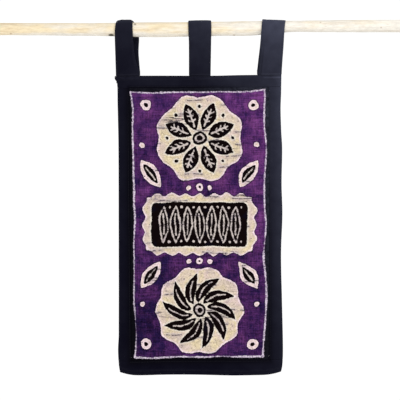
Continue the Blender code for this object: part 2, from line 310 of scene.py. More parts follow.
LINE_WEAR = table(
    Patch,
    (-0.1360, -0.620, 0.020, 0.025, 1.10), (-0.1360, -0.660, 0.020, 0.018, 0.30),
    (-0.1430, -0.225, 0.020, 0.060, 0.10), (-0.1390, -0.245, 0.020, 0.018, -0.25),
    (-0.1390, -0.350, 0.020, 0.035, -0.32), (-0.1385, -0.510, 0.020, 0.050, 0.40),
    (0.1350, -0.253, 0.020, 0.030, 0.38), (0.1350, -0.447, 0.020, 0.020, 0.85),
    (0.1330, -0.487, 0.020, 0.018, -0.40), (0.1360, -0.570, 0.020, 0.020, -0.45),
    (-0.1180, -0.133, 0.022, 0.015, 0.15), (-0.0760, -0.133, 0.014, 0.012, -0.30),
    (0.0000, -0.132, 0.110, 0.012, 0.22), (0.1250, -0.128, 0.018, 0.012, -0.32),
    (-0.1280, -0.686, 0.014, 0.012, -0.35), (0.0500, -0.684, 0.017, 0.012, 0.95),
    (0.1050, -0.684, 0.024, 0.012, -0.38),
)
# Patches of painted light on the black cotton, added to the share that grows towards the top right
PAINTED_LIGHT_PATCHES = table(
    Patch,
    (-0.115, -0.104, 0.034, 0.018, 0.100), (-0.012, -0.106, 0.034, 0.024, -0.150),
    (0.060, -0.101, 0.040, 0.009, 0.170), (0.150, -0.690, 0.040, 0.040, 0.045),
    (-0.010, -0.704, 0.120, 0.026, -0.055), (-0.150, -0.040, 0.030, 0.030, 0.020),
)
SMUDGES = table(
    Patch,
    (-0.092, -0.352, 0.022, 0.016, 1.0), (-0.072, -0.440, 0.014, 0.030, 0.7),
    (-0.080, -0.200, 0.026, 0.014, 0.6), (0.076, -0.400, 0.022, 0.030, 0.6),
    (0.060, -0.500, 0.020, 0.026, 0.5), (-0.058, -0.598, 0.016, 0.010, 0.8),
    (0.028, -0.604, 0.022, 0.016, 0.8), (-0.070, -0.528, 0.022, 0.008, 0.8),
    (0.090, -0.330, 0.024, 0.014, 0.4),
)
TINTS = table(
    Patch,
    (0.000, -0.150, 0.026, 0.018, -1.0), (-0.100, -0.150, 0.050, 0.020, 0.5),
    (0.100, -0.146, 0.050, 0.022, 0.9), (-0.120, -0.260, 0.020, 0.060, -0.1),
    (0.125, -0.185, 0.020, 0.020, 0.5), (0.125, -0.300, 0.016, 0.060, 0.5),
    (0.118, -0.430, 0.022, 0.050, 0.6), (0.105, -0.470, 0.020, 0.020, -0.5),
    (-0.118, -0.420, 0.022, 0.080, 0.6), (-0.110, -0.610, 0.040, 0.030, -0.9),
    (-0.110, -0.680, 0.040, 0.016, -0.3), (-0.062, -0.662, 0.030, 0.016, 0.8),
    (0.000, -0.655, 0.030, 0.020, -0.8), (0.085, -0.662, 0.040, 0.018, 0.4),
    (0.125, -0.590, 0.018, 0.040, -0.1),
)

# Knots of the stick: where along it and how far round it from the front, reach and height
Knot = namedtuple("Knot", "across angle reach height")
KNOTS = table(
    Knot,
    (0.376, 0.36, 0.0034, 0.00030), (0.250, -0.62, 0.0030, -0.00030),
    (-0.262, -1.90, 0.0045, 0.00035), (0.070, 1.20, 0.0055, 0.00040),
    (-0.395, 0.90, 0.0050, 0.00040),
)

# Dark marks on the stick, placed like the knots, with their half sizes and strength
Mark = namedtuple("Mark", "across angle half_length half_width strength")
MARKS = table(
    Mark,
    (-0.1861, 1.12, 0.0064, 0.0045, 1.0), (-0.1364, -0.73, 0.0024, 0.0026, 0.75),
)

Shade = namedtuple("Shade", "red green blue")


# Curves and fields

def read_curve(rows, places, value_column=1):
    """Values at places, smooth between rows whose first column rises or falls."""
    knots = np.array([row[0] for row in rows], float)
    values = np.array([row[value_column] for row in rows], float)
    if knots[0] > knots[-1]:
        knots = knots[::-1]
        values = values[::-1]
    before = np.maximum(np.arange(len(knots)) - 1, 0)
    after = np.minimum(np.arange(len(knots)) + 1, len(knots) - 1)
    slopes = (values[after] - values[before]) / (knots[after] - knots[before])
    places = np.clip(places, knots[0], knots[-1])
    start = np.clip(np.searchsorted(knots, places, side="right") - 1, 0, len(knots) - 2)
    span = knots[start + 1] - knots[start]
    t = (places - knots[start]) / span
    return (
        values[start] * (1 + 2 * t) * (1 - t) ** 2
        + slopes[start] * span * t * (1 - t) ** 2
        + values[start + 1] * t * t * (3 - 2 * t)
        + slopes[start + 1] * span * t * t * (t - 1)
    )


def bell(distance, half_width):
    return np.exp(-((distance / half_width) ** 2))


def mix(low, high, share):
    return low + (high - low) * share


def ease(low, high, value):
    """0 at low and 1 at high, with a soft start and end."""
    t = np.clip((value - low) / (high - low), 0, 1)
    return t * t * (3 - 2 * t)


def ripple(first, second, wavelength, seed, waves=7):
    """Smooth unevenness between about -1 and 1, the same on each run."""
    draw = np.random.default_rng(seed)
    total = 0
    for _ in range(waves):
        direction = draw.uniform(0, 2 * math.pi)
        length = wavelength * draw.uniform(0.7, 1.6)
        phase = draw.uniform(0, 2 * math.pi)
        along = first * math.cos(direction) + second * math.sin(direction)
        total = total + np.sin(2 * math.pi * along / length + phase)
    return total / math.sqrt(waves * 2)


def patches(rows, across, height):
    total = 0
    for row in rows:
        distance = np.hypot(
            (across - row.across) / row.half_width, (height - row.height) / row.half_height
        )
        total = total + row.strength * np.exp(-(distance ** 2))
    return total


def rod_at(across):
    """Height of the rod's axis, and its radius."""
    top = read_curve(ROD_SECTIONS, across, 1)
    bottom = read_curve(ROD_SECTIONS, across, 2)
    return (top + bottom) / 2, (top - bottom) / 2


def line_of(rows, shift=0.0):
    """A named curve as a function, shifted off its place."""
    return lambda place: read_curve(rows, place) + shift


left_edge = line_of(LEFT_EDGE)
right_edge = line_of(RIGHT_EDGE)
top_edge = line_of(TOP_EDGE)


def bottom_edge(across):
    low = read_curve(BOTTOM_EDGE, across)
    inward = np.minimum(across - left_edge(low), right_edge(low) - across)
    nearness = np.clip(1 - inward / CORNER_RISE_WIDTH, 0, 1)
    return low + CORNER_RISE * nearness ** CORNER_RISE_POWER


def from_hems(across, height):
    """How far a place is below the cloth's top edge, and above its bottom edge."""
    return top_edge(across) - height, height - bottom_edge(across)


def seam_lines(across, height, outward=0.0):
    """Distance from four lines at or outside the batik's seams, and the place along each."""
    return [
        (across - read_curve(LEFT_SEAM, height) + outward, height),
        (across - read_curve(RIGHT_SEAM, height) - outward, height),
        (height - read_curve(TOP_SEAM, across) - outward, across),
        (height - read_curve(BOTTOM_SEAM, across) + outward, across),
    ]


def cloth_depth(across, height):
    """Depth of the hanging cloth's middle surface, as in the solids."""
    drop = np.maximum(top_edge(across) - height, 0)
    freed = 1 - np.exp(-drop / FOLD_START)
    depth = 0
    for fold in FOLDS:
        depth = depth + freed * fold.depth * bell(
            across - fold.across - fold.lean * drop, fold.half_width
        )
    for side_edge in (left_edge, right_edge):
        inward = np.abs(across - side_edge(height))
        depth = depth + EDGE_ROLL_DEPTH * freed * bell(inward, EDGE_ROLL_WIDTH)
        corner_distance = np.hypot(inward, height - CORNER_HEIGHT)
        depth = depth + CORNER_CURL_DEPTH * bell(corner_distance, CORNER_CURL_REACH)
    return depth


def crease_depth(across, height):
    """Shallow creases left by folding and handling, on all the hanging cloth."""
    freed = ease(0.0, 0.030, top_edge(across) - height)
    depth = 0.00022 * ripple(across, height, 0.060, 11) + 0.00012 * ripple(across, height, 0.024, 12)
    for crease in CREASES:
        wander = 0.0015 * np.sin(across * 31 + crease.level * 50)
        line = crease.level + crease.lean * across + wander
        uneven = 0.65 + 0.35 * ripple(across, height * 0.2, 0.09, 13)
        depth = depth + crease.strength * uneven * bell(height - line, CREASE_HALF_WIDTH)
    return depth * freed


# Generic batik design: a motif gives millimetres inside its outline, its ink and its lines

def leaf(along, sideways, start, end, half_width):
    """Signed distance, positive inside, of a leaf with two pointed ends."""
    t = np.clip((along - start) / (end - start), 0, 1)
    bulge = half_width * np.sin(math.pi * t) ** 0.85
    beyond = np.maximum(np.maximum(start - along, along - end), 0)
    return np.where(beyond > 0, -np.hypot(beyond, sideways), bulge - np.abs(sideways))


def stroke(along, sideways, start, end, half_width=LINE_HALF_WIDTH):
    beyond = np.maximum(np.maximum(start - along, along - end), 0)
    return half_width - np.hypot(beyond, sideways)


def polar(x, z, count, turn=0.0, twist=0.0):
    """Radius, and the place along and beside the nearest of some equal spokes."""
    radius = np.hypot(x, z)
    angle = np.arctan2(z, x) + turn + twist * radius
    step = 2 * math.pi / count
    folded = (angle + step / 2) % step - step / 2
    return radius, radius * np.cos(folded), radius * np.sin(folded)


def scalloped(x, z, count, swing, turn=0.0):
    """Inside of a round with so many soft lobes."""
    return 89.4 + swing * np.cos(count * (np.arctan2(z, x) + turn)) - np.hypot(x, z)


def flower(x, z):
    """Scalloped round with eight veined petals and a ringed middle."""
    radius, along, sideways = polar(x, z, 8, turn=math.pi / 8)
    _, seed_along, seed_sideways = polar(x, z, 8)
    ink = np.maximum(leaf(along, sideways, 18, 78, 15.3), 14.5 - radius)
    ink = np.maximum(ink, 3.6 - np.hypot(seed_along - 68, seed_sideways))
    lines = np.maximum(stroke(along, sideways, 27, 65), LINE_HALF_WIDTH - np.abs(radius - 7.5))
    for vein in (36, 46, 56):
        slanted = (along - vein) * 0.8 - np.abs(sideways) * 0.6
        lines = np.maximum(lines, np.minimum(1.25 - np.abs(slanted), 7.5 - np.abs(sideways)))
    return scalloped(x, z, 8, 4.5, math.pi / 8), ink, lines


def cartouche(x, z):
    """Scalloped oblong with a dark field that holds a row of upright outlined leaves."""
    half_width, half_height, corner = 116.2, 62.2, 26.0
    past_x = np.abs(x) - half_width + corner
    past_z = np.abs(z) - half_height + corner
    inside = corner - np.hypot(np.maximum(past_x, 0), np.maximum(past_z, 0))
    inside = inside - np.minimum(np.maximum(past_x, past_z), 0)
    at_side = ease(-10.0, 10.0, past_x - past_z)
    scallops = mix(np.cos(2 * math.pi * x / 28.75), np.cos(2 * math.pi * z / 30.5), at_side)
    lines = x * 0 - 5.0
    for across in range(-75, 76, 25):
        beside = x - across
        lines = np.maximum(lines, 1.55 - np.abs(leaf(z, beside, -37, 37, 9.5)))
        lines = np.maximum(lines, stroke(z, beside, -22, 22, 1.4))
        for level in (-36, 36):
            lines = np.maximum(lines, 2.6 - np.hypot(beside - 12.5, z - level))
    return inside + 3.2 * scallops, inside - 16.0, np.minimum(lines, 88 - np.abs(x))


def pinwheel(x, z):
    """Scalloped round with ten curved blades."""
    radius, along, sideways = polar(x, z, 10, twist=0.011)
    ink = np.maximum(leaf(along, sideways, 16, 79, 12.7), 13.5 - radius)
    lines = np.maximum(
        stroke(along, sideways, 26, 64, 1.5), LINE_HALF_WIDTH - np.abs(radius - 7.0)
    )
    return scalloped(x, z, 10, 3.8), ink, lines


def sprig(x, z, turn):
    """One leaf with a dark heart and a midrib."""
    along = x * math.cos(turn) + z * math.sin(turn)
    sideways = -x * math.sin(turn) + z * math.cos(turn)
    return (
        leaf(along, sideways, -34, 34, 15.5),
        leaf(along, sideways, -24, 24, 8.6),
        stroke(along, sideways, -15, 15, 1.3),
    )


def dot(x, z, radius, heart):
    distance = np.hypot(x, z)
    return radius - distance, heart - distance, distance * 0 - 5.0


def design(across, height):
    """Millimetres inside the wax and inside the motifs' outline, and where motifs are dark."""
    x = (across - DESIGN_ACROSS) / MILLIMETRE
    z = (height - DESIGN_HEIGHT) / MILLIMETRE
    x, z = (
        x + 1.5 * ripple(x, z, 46, 21) + 0.5 * ripple(x, z, 15, 22),
        z + 1.5 * ripple(x, z, 46, 23) + 0.5 * ripple(x, z, 15, 24),
    )
    motifs = [flower(x, z - 180), cartouche(x, z), pinwheel(x, z + 180)]
    for level in (-1, 1):
        motifs.append(dot(x, z - level * 77, 7.0, 2.6))
        for side in (-1, 1):
            motifs.append(sprig(x - side * 102, z - level * 106, side * level * 0.95))
            motifs.append(dot(x - side * 22, z - level * 77, 5.0, -5.0))
            motifs.append(dot(x - side * 112, z - level * 250, 11.0, 4.4))
            motifs.append(dot(x - side * 120, z - level * 166, 5.5, -5.0))
    body, ink, lines = (np.max(layer, axis=0) for layer in zip(*motifs))
    wax = np.maximum(np.minimum(body, -ink), np.minimum(lines, body))
    return wax, body, np.clip(ink / 2.0, 0, 1)


def crack_distance(across, height):
    """Millimetres to the nearest of the level cracks that folding left in the wax."""
    draw = np.random.default_rng(CRACK_SEED)
    nearest = np.full_like(across, CRACK_REACH)
    for fold_level in np.linspace(CRACK_TOP, CRACK_BOTTOM, CRACK_ROWS):
        for middle in (-0.085, 0.0, 0.085):
            middle = middle + draw.uniform(-0.035, 0.035)
            half_length = draw.uniform(0.012, 0.032)
            level = fold_level + draw.uniform(-0.008, 0.008)
            slope = draw.uniform(-0.07, 0.07)
            phase = draw.uniform(0, 2 * math.pi)
            line = level + slope * (across - middle) + 0.0008 * np.sin(across * 110 + phase)
            beyond = np.maximum(np.abs(across - middle) - half_length, 0)
            nearest = np.minimum(nearest, np.hypot(beyond, height - line) / MILLIMETRE)
    return nearest


def field_distance(across, height):
    """Millimetres inside the resist line that goes round the picture."""
    inside = np.minimum.reduce([
        across - read_curve(LINE_LEFT, height),
        read_curve(LINE_RIGHT, height) - across,
        read_curve(LINE_TOP, across) - height,
        height - read_curve(LINE_BOTTOM, across),
    ])
    uneven = 0.22 * ripple(across, height, 0.013, 31) + 0.2 * ripple(across, height, 0.006, 32)
    return inside / MILLIMETRE + uneven


# Meshes

def add_object(name, data):
    thing = bpy.data.objects.new(name, data)
    bpy.context.scene.collection.objects.link(thing)
    return thing


def add_piece(name, vertices, faces, material, attributes=None):
    """A smooth mesh from points and faces, with numbers that its material reads."""
    mesh = bpy.data.meshes.new(name)
    mesh.from_pydata(np.asarray(vertices).tolist(), [], faces)
    mesh.validate()
    for label, values in (attributes or {}).items():
        layer = mesh.attributes.new(label, "FLOAT", "POINT")
        layer.data.foreach_set("value", np.asarray(values, np.float32).ravel())
    mesh.shade_smooth()
    mesh.materials.append(material)
    piece = add_object(name, mesh)
    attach(piece, "root")
    return piece


def graded(length, cell, rounding):
    """Shares of a length, set close at both ends for the round of an edge."""
    near = rounding * np.array([0.0, 0.10, 0.35, 0.70, 1.15])
    count = max(round((length - 2 * near[-1]) / cell), 1)
    middle = np.linspace(near[-1], length - near[-1], count + 1)
    return np.concatenate([near[:-1], middle, (length - near[:-1])[::-1]]) / length


def grid_faces(numbers, flip=False):
    a = numbers[:-1, :-1].ravel()
    b = numbers[1:, :-1].ravel()
    c = numbers[1:, 1:].ravel()
    d = numbers[:-1, 1:].ravel()
    order = (a, d, c, b) if flip else (a, b, c, d)
    return np.stack(order, axis=1).tolist()


def add_sheet(name, across, centre, half, height, material, fields):
    """A closed sheet on a grid of places: its front and back share the points of its edge."""
    front_numbers = np.arange(across.size).reshape(across.shape)
    back_numbers = front_numbers.copy()
    inner = back_numbers[1:-1, 1:-1]
    inner[:] = across.size + np.arange(inner.size).reshape(inner.shape)
    front = np.stack([across, centre - half, height], axis=-1)
    back = np.stack([across, centre + half, height], axis=-1)
    vertices = np.concatenate([front.reshape(-1, 3), back[1:-1, 1:-1].reshape(-1, 3)])
    faces = grid_faces(front_numbers) + grid_faces(back_numbers, flip=True)
    attributes = {
        label: np.concatenate([field.ravel(), field[1:-1, 1:-1].ravel()])
        for label, field in fields.items()
    }
    return add_piece(name, vertices, faces, material, attributes)


def rounded(half, inward, reach):
    """Half the thickness of a sheet, brought to nothing along its edge in a round."""
    return half * np.sqrt(1 - (1 - np.clip(inward / reach, 0, 1)) ** 2)


def make_sheet(name, sides, levels, cell, half_thickness, material, relief=None, shift=0.0,
               fields=None):
    """A sheet between two sides and two levels, on the folds of the solids."""
    left, right = sides
    top, bottom = levels
    middle_height = (top(0.0) + bottom(0.0)) / 2
    width = right(middle_height) - left(middle_height)
    drop = top(0.0) - bottom(0.0)
    share = graded(width, cell, BORDER_HALF_THICKNESS)[None, :]
    down = graded(drop, cell, BORDER_HALF_THICKNESS)[:, None]
    rough_height = mix(top(0.0), bottom(0.0), down)
    rough_across = mix(left(rough_height), right(rough_height), share)
    height = mix(top(rough_across), bottom(rough_across), down)
    across = mix(left(height), right(height), share)

    inward = np.minimum(np.minimum(share, 1 - share) * width, np.minimum(down, 1 - down) * drop)
    half = half_thickness(across, height) + np.zeros_like(across)
    half = rounded(half, inward, EDGE_ROUND_SHARE * half)
    centre = cloth_depth(across, height) + crease_depth(across, height) + shift
    if relief is not None:
        centre = centre + relief(across, height)
    values = fields(across, height) if fields is not None else {}
    return add_sheet(name, across, centre, half, height, material, values)


def hem_half_thickness(across, height):
    """Half the thickness of a border: one layer, and more where its hem is folded over."""
    in_top_hem, in_bottom_hem = (
        1 - ease(width - HEM_STEP, width + HEM_STEP, distance)
        for width, distance in zip((TOP_HEM_WIDTH, BOTTOM_HEM_WIDTH), from_hems(across, height))
    )
    in_hem = np.maximum(in_top_hem, in_bottom_hem)
    return mix(BORDER_HALF_THICKNESS, HEM_HALF_THICKNESS, in_hem)


def border_relief(across, height):
    """Puckers along the stitched lines of the borders."""
    lines = seam_lines(across, height, SEAM_STITCH_INSET)
    for from_hem in from_hems(across, height):
        lines.append((from_hem - HEM_STITCH_INSET, across))
    depth = 0
    for number, (distance, along) in enumerate(lines):
        pucker = bell(distance, 0.0055) * ripple(along, distance * 0.3, 0.011, 40 + number)
        depth = depth + 0.00018 * bell(distance, 0.0016) + 0.00016 * pucker
    return depth


def painted_light_share(across, height):
    """Painted light on the black cotton: a share that grows towards the top right, where the light
    falls.
    """
    # Painted light: lighter to the right and upward, standing in for the sheen of a light from the
    # top right
    sideways = 0.14 + 0.86 * np.clip((across + 0.185) / 0.355, 0, 1) ** 2.2
    upward = np.clip(1.02 + 1.28 * height, 0.05, 1)
    return np.clip(sideways * upward + patches(PAINTED_LIGHT_PATCHES, across, height), 0, 1)


def border_fields(across, height):
    """Painted highlights on the cotton's folds and hems, painted light towards the top right, and
    where it is darker near the seams.
    """
    from_top, from_bottom = from_hems(across, height)
    from_side = np.minimum(across - left_edge(height), right_edge(height) - across)
    left, right, top, bottom = (distance for distance, _ in seam_lines(across, height))
    from_batik = np.maximum.reduce([-left, right, top, -bottom])
    # fold: painted highlights where the top hem, the bottom hem's lines and the side edges catch the
    # light
    fold = (
        0.55 * bell(from_top - 0.0040, 0.0040)
        + 0.50 * bell(from_bottom - 0.0105, 0.0016)
        + 0.35 * bell(from_bottom - 0.0040, 0.0022)
        + 0.45 * bell(from_side, 0.0045)
    )
    fold = fold * (0.75 + 0.25 * ripple(across, height, 0.030, 51))

    # Painted light, weaker near the seams where unlit_share is high, stronger along the right edge,
    # and painted light lines on the top border below each tab
    fade = painted_light_share(across, height)
    unlit_share = np.clip(1 - 1.7 * fade, 0, 1)
    fade = fade * (0.58 + 0.42 * bell(right_edge(height) - across, 0.0130))
    fade = fade * mix(1, ease(0.0010, 0.0085, from_batik), unlit_share)
    for tab in TABS:
        foot = tab.sections[0]
        under_tab = ease(foot.left + 0.010, foot.left + 0.016, across)
        under_tab = under_tab * (1 - ease(foot.right - 0.002, foot.right, across))
        fade = fade * (1 + 0.75 * under_tab * bell(from_top - 0.0057, 0.0012))
    # deep: darker near the batik's seams, where the painted light is weak
    reach = np.where(top > 0, 0.0060, 0.0165)
    deep = (1 - ease(0.0, reach, from_batik)) * unlit_share
    return {"fold": np.clip(fold, 0, 1), "fade": fade, "deep": deep}


def batik_relief(across, height):
    """The batik is drawn in at its seams, and rippled in level waves where its wax is cracked."""
    depth = 0
    for number, (distance, along) in enumerate(seam_lines(across, height)):
        pucker = ripple(along, distance * 0.3, 0.013, 60 + number)
        depth = depth + 0.00020 * bell(distance, 0.0060) * pucker
    cracks = patches(CRACK_PATCHES, across, height)
    return depth + 0.00028 * cracks * np.sin(2 * math.pi * height / 0.0085)


def batik_fields(across, height):
    wax, body, drawn = design(across, height)
    # tint: dye tints in patches, and painted light that grows towards the top right
    tint = patches(TINTS, across, height) + 0.55 * (height - DESIGN_HEIGHT) / 0.28 + across
    return {
        "wax": wax,
        "body": body,
        "drawn": drawn,
        "field": field_distance(across, height),
        "crackle": np.clip(patches(CRACK_PATCHES, across, height), 0, 1),
        "smudge": np.clip(patches(SMUDGES, across, height), 0, 1),
        "tint": np.clip(tint, -1, 1),
        "crack": crack_distance(across, height),
        "gleam": crack_distance(across, height - CRACK_GLEAM_SHIFT),
        "thinned": np.clip(patches(LINE_WEAR, across, height), -0.5, 1),
        # Painted light on the black margin outside the resist line
        "fade": painted_light_share(across, height),
    }


def make_cloth(cotton, batik):
    """The batik panel and its four borders, with a small gap at each seam."""
    gap = SEAM_GAP / 2
    whole = (left_edge, right_edge)
    levels = (line_of(TOP_SEAM, -gap), line_of(BOTTOM_SEAM, gap))
    strips = {
        "border_top": (whole, (top_edge, line_of(TOP_SEAM, gap)), LEVEL_STRIP_CELL),
        "border_bottom": (whole, (line_of(BOTTOM_SEAM, -gap), bottom_edge), LEVEL_STRIP_CELL),
        "border_left": ((left_edge, line_of(LEFT_SEAM, -gap)), levels, SIDE_STRIP_CELL),
        "border_right": ((line_of(RIGHT_SEAM, gap), right_edge), levels, SIDE_STRIP_CELL),
    }
    pieces = {
        node: make_sheet(
            node + "_cloth", *strip, hem_half_thickness, cotton, border_relief,
            fields=border_fields,
        )
        for node, strip in strips.items()
    }
    pieces["batik_panel"] = make_sheet(
        "batik_cloth", (line_of(LEFT_SEAM, gap), line_of(RIGHT_SEAM, -gap)), levels, BATIK_CELL,
        lambda across, height: BATIK_HALF_THICKNESS,
        batik, batik_relief, fields=batik_fields,
    )
    return pieces


def make_allowances(cotton):
    """The pressed seam allowances behind the four seams of the batik."""
    wide = ALLOWANCE_HALF_WIDTH
    between = (
        line_of(TOP_SEAM, -wide - ALLOWANCE_OVERLAP),
        line_of(BOTTOM_SEAM, wide + ALLOWANCE_OVERLAP),
    )
    whole = (
        lambda height: left_edge(height) + ALLOWANCE_INSET,
        lambda height: right_edge(height) - ALLOWANCE_INSET,
    )
    strips = [
        ((line_of(seam, -wide), line_of(seam, wide)), between) for seam in (LEFT_SEAM, RIGHT_SEAM)
    ] + [
        (whole, (line_of(seam, wide), line_of(seam, -wide))) for seam in (TOP_SEAM, BOTTOM_SEAM)
    ]
    parts = [
        make_sheet(
            f"allowance_{number}", *strip, ALLOWANCE_CELL,
            lambda across, height: ALLOWANCE_HALF_THICKNESS,
            cotton, shift=ALLOWANCE_SHIFT,
        )
        for number, strip in enumerate(strips)
    ]
    return join(parts, "seam_allowances")


def join(parts, name):
    """One mesh from several, under a new name."""
    bpy.ops.object.select_all(action="DESELECT")
    for part in parts:
        part.select_set(True)
    bpy.context.view_layer.objects.active = parts[0]
    bpy.ops.object.join()
    parts[0].name = name
    parts[0].data.name = name
    return parts[0]


def tab_profile(around, across, side_share, outer, tab):
    """Depth and height of one surface of a tab's loop, inner or outer, near that of the solids."""
    thickness = TAB_THICKNESS if outer else 0.0
    swell = 1 - np.abs(2 * side_share - 1) ** 8
    lift = mix(*tab.lifts, side_share) if outer else 0.0
    centre, rod_radius = rod_at(across)
    inner_radius = rod_radius + TAB_ROD_CLEARANCE
    foot = top_edge(across) + SEAM_GAP
    split = foot + TAB_FOOT_HEIGHT
    tangent = np.arcsin(inner_radius / (centre - split))
    side = np.where(around < 0.5, -1.0, 1.0)
    leg_share = np.minimum(around, 1 - around) / TAB_LEG_SHARE

    radius = inner_radius + thickness
    foot_depth = TAB_FOOT_HALF_THICKNESS if outer else TAB_SPLIT_HALF_WIDTH
    foot_height = foot if outer else split
    leg_depth = mix(side * foot_depth, side * radius * np.cos(tangent), leg_share)
    leg_height = mix(foot_height, centre - radius * np.sin(tangent), leg_share)

    arc_share = (around - TAB_LEG_SHARE) / (1 - 2 * TAB_LEG_SHARE)
    angle = mix(-tangent, math.pi + tangent, arc_share)
    rise = (tab.crown_rise * swell + lift) * np.maximum(np.sin(angle), 0) ** 2
    arc_depth = -(radius + rise) * np.cos(angle)
    arc_height = centre + (radius + rise) * np.sin(angle)
    on_leg = leg_share <= 1
    return np.where(on_leg, leg_depth, arc_depth), np.where(on_leg, leg_height, arc_height)


def tab_surface(tab, around, share, offset, turn):
    """Points of a tab. turn is 1 on the outer surface, -1 on the inner one."""
    left = read_curve(tab.sections, around, 1)
    right = read_curve(tab.sections, around, 2)
    from_foot = np.minimum(around, 1 - around) / TAB_LEG_SHARE
    rounding = TAB_EDGE_ROUND * ease(0.0, 0.10, from_foot) + 0.00005
    across = mix(left + rounding, right - rounding, share) + offset * rounding
    outer_depth, outer_height = tab_profile(around, across, share, True, tab)
    inner_depth, inner_height = tab_profile(around, across, share, False, tab)
    freed = ease(0.06, 0.30, from_foot)
    beside = share * TAB_WIDTH
    wave = tab.bunching * freed * ripple(beside, around * 0.030, 0.014, 71)
    wave = wave + 0.00012 * freed * ripple(beside, around * 0.23, 0.020, 72)
    step = tab.seam_step * (ease(0.13, 0.16, share) - 0.5) * freed
    outward = np.maximum(turn, 0) * (wave - step)
    thickness_depth = outer_depth - inner_depth
    thickness_height = outer_height - inner_height
    length = np.hypot(thickness_depth, thickness_height) + 1e-9
    blend = (1 + turn) / 2
    depth = mix(inner_depth, outer_depth, blend) + outward * thickness_depth / length
    height = mix(inner_height, outer_height, blend) + outward * thickness_height / length
    return np.stack([across, depth, height], axis=-1)


def tab_fields(tab, around, share, points):
    """Painted highlights on a tab's edges, crown and foot, painted light that grows up the tab, and
    painted shade on a tab's side fold.
    """
    across, _, height = np.moveaxis(points, -1, 0)
    above_foot = height - top_edge(across)
    # fold: painted highlights on the tab's edges, its crown and a line just above its foot
    edge = 0.55 * bell(np.minimum(share, 1 - share) * TAB_WIDTH, 0.0030)
    fold = np.clip(edge + 0.5 * bell(around - 0.44, 0.05), 0, 1)
    fold = np.maximum(fold, 0.9 * bell(above_foot - 0.0016, 0.0011))
    # Painted light, lighter up the tab and on its crown, with painted light lines where it is sewn
    # in
    upward = np.clip(above_foot / 0.110, 0, 1) ** 2
    fade = painted_light_share(across, height) * mix(0.66, 1.30, upward) + 0.05 * upward
    fade = fade + 0.22 * bell(around - 0.450, 0.020)
    sewn_in = ease(0.10, 0.16, share) * bell(above_foot - 0.0006, 0.0013)
    # deep: painted shade on the side fold of a tab whose strip_shade is set
    low = 1 - ease(0.025, 0.080, above_foot)
    strip = 0.20 * (1 - ease(0.13, 0.18, share)) + 0.40 * bell(share - 0.155, 0.022)
    strip = strip + 0.45 * bell(share, 0.045)
    return {"fold": fold, "fade": fade * (1 + 1.20 * sewn_in), "deep": tab.strip_shade * low * strip}


def make_tab(tab, cotton):
    """A folded strip over the rod: a closed ring of sections with rounded side edges."""
    leg = TAB_LEG_SHARE * np.arange(TAB_LEG_STEPS) / TAB_LEG_STEPS
    arc = np.linspace(TAB_LEG_SHARE, 1 - TAB_LEG_SHARE, TAB_ARC_STEPS + 1)
    around = np.concatenate([leg, arc, 1 - leg[::-1]])[:, None]
    flat = np.linspace(0, 1, TAB_COLUMNS)
    turning = np.linspace(0, math.pi, TAB_EDGE_STEPS + 2)[1:-1]
    share = np.concatenate([flat, np.ones_like(turning), flat[::-1], np.zeros_like(turning)])
    offset = np.concatenate([0 * flat, np.sin(turning), 0 * flat, -np.sin(turning)])
    turn = np.concatenate([0 * flat + 1, np.cos(turning), 0 * flat - 1, -np.cos(turning)])
    share = share[None, :]
    points = tab_surface(tab, around, share, offset[None, :], turn[None, :])
    closed = np.pad(np.arange(around.size * share.size).reshape(around.size, -1), (0, 1), "wrap")
    fields = tab_fields(tab, around, share, points)
    return add_piece(
        tab.name + "_loop", points.reshape(-1, 3), grid_faces(closed), cotton, fields
    )


def make_tail(tab, cotton):
    """The end of a tab that goes down behind the top hem and is sewn to it."""
    foot = tab.sections[0]
    share = np.linspace(0, 1, TAIL_COLUMNS)[None, :]
    down = np.linspace(0, 1, TAIL_ROWS)[:, None]
    across = mix(foot.left + TAIL_INSET, foot.right - TAIL_INSET, share) + 0 * down
    drop = TAIL_DROP * down
    height = top_edge(across) + TAIL_RISE - drop
    middle = mix(TAIL_TOP_DEPTH, TAIL_LOW_DEPTH, ease(0.0, TAIL_STEP_HEIGHT, drop))
    middle = middle + 0.00008 * ripple(across, height, 0.012, 81)
    inward = np.minimum(
        np.minimum(share, 1 - share) * TAIL_WIDTH, np.minimum(down, 1 - down) * TAIL_DROP
    )
    half = rounded(TAIL_HALF_THICKNESS, inward, TAIL_ROUND)
    # Painted light, as on the borders
    fields = {"fade": painted_light_share(across, height)}
    return add_sheet(tab.name + "_tail", across, middle, half, height, cotton, fields)


def turn_from(place, angle):
    """Angle round the stick from a place on it that is counted from the front."""
    return (angle - place) % (2 * math.pi) - math.pi


